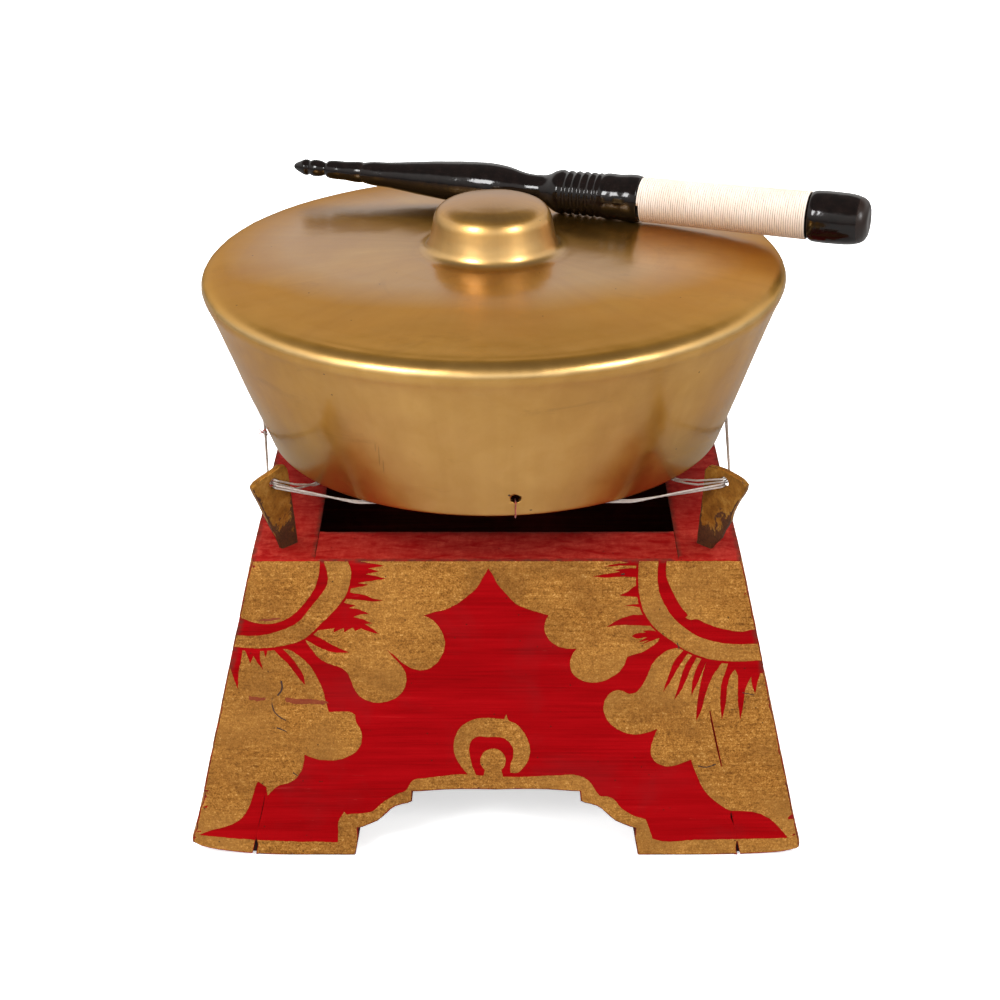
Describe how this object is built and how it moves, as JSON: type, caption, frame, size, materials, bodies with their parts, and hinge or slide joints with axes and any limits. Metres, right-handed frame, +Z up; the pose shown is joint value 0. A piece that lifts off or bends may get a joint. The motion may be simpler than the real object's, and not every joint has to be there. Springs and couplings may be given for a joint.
{
  "type": "bossed gong on stand",
  "caption": "Flat-lying bossed bronze gong on a cord sling strung between pegs on a painted, gilded wooden pyramid stand, with a cord-wound mallet resting across its face.",
  "frame": {"origin": "bottom centre of the bounding box of the whole part with the mallet on the gong; the stand footprint is centred at x -0.01951, y 0, on the same floor plane", "axes": "+X to the right, +Y to the rear, +Z up from the feet to the gong's boss"},
  "size_m": [0.347, 0.308, 0.296],
  "materials": {
    "painted_wood": "brushed red gloss paint with worn gold paint scrolls over hardwood",
    "peg_metal": "worn gold paint over dark brown metal",
    "dowel_wood": "plain wood",
    "sling_cord": "off-white semi-translucent twisted nylon",
    "red_thread": "twisted red-brown cotton",
    "bronze": "hand-polished bronze, satin",
    "lacquered_wood": "black gloss lacquer",
    "wound_cord": "fine off-white cord, close wound"
  },
  "bodies": {
    "stand": {"left_side_board": "painted_wood", "right_side_board": "painted_wood", "front_panel": "painted_wood", "rear_panel": "painted_wood", "cord_peg_front_left": "peg_metal", "cord_peg_front_right": "peg_metal", "cord_peg_rear_left": "peg_metal", "cord_peg_rear_right": "peg_metal", "corner_dowels_front_left": "dowel_wood", "corner_dowels_front_right": "dowel_wood", "corner_dowels_rear_left": "dowel_wood", "corner_dowels_rear_right": "dowel_wood"},
    "cord_sling": {"front_cord": "sling_cord", "rear_cord": "sling_cord", "left_cord": "sling_cord", "right_cord": "sling_cord", "cross_cord_upper": "sling_cord", "cross_cord_lower": "sling_cord", "cord_binding_thread": "red_thread"},
    "gong": {"gong_bowl": "bronze", "gong_hole_thread": "red_thread"},
    "mallet": {"mallet_stick": "lacquered_wood", "mallet_cord_wrap": "wound_cord"}
  },
  "joints": [
    {"name": "sling_give", "type": "slide", "parent": "stand", "child": "cord_sling", "axis": [0, 0, 1], "range_m": [-0.004, 0.002], "stiffness_N_per_m": 6000, "springref_m": 0.0063, "deforming": ["front_cord", "rear_cord", "left_cord", "right_cord", "cross_cord_upper", "cross_cord_lower"]},
    {"name": "gong_lift", "type": "slide", "parent": "cord_sling", "child": "gong", "axis": [0, 0, 1], "range_m": [0, 0.15]},
    {"name": "mallet_lift", "type": "slide", "parent": "gong", "child": "mallet", "axis": [0, 0, 1], "range_m": [0, 0.15]}
  ]
}
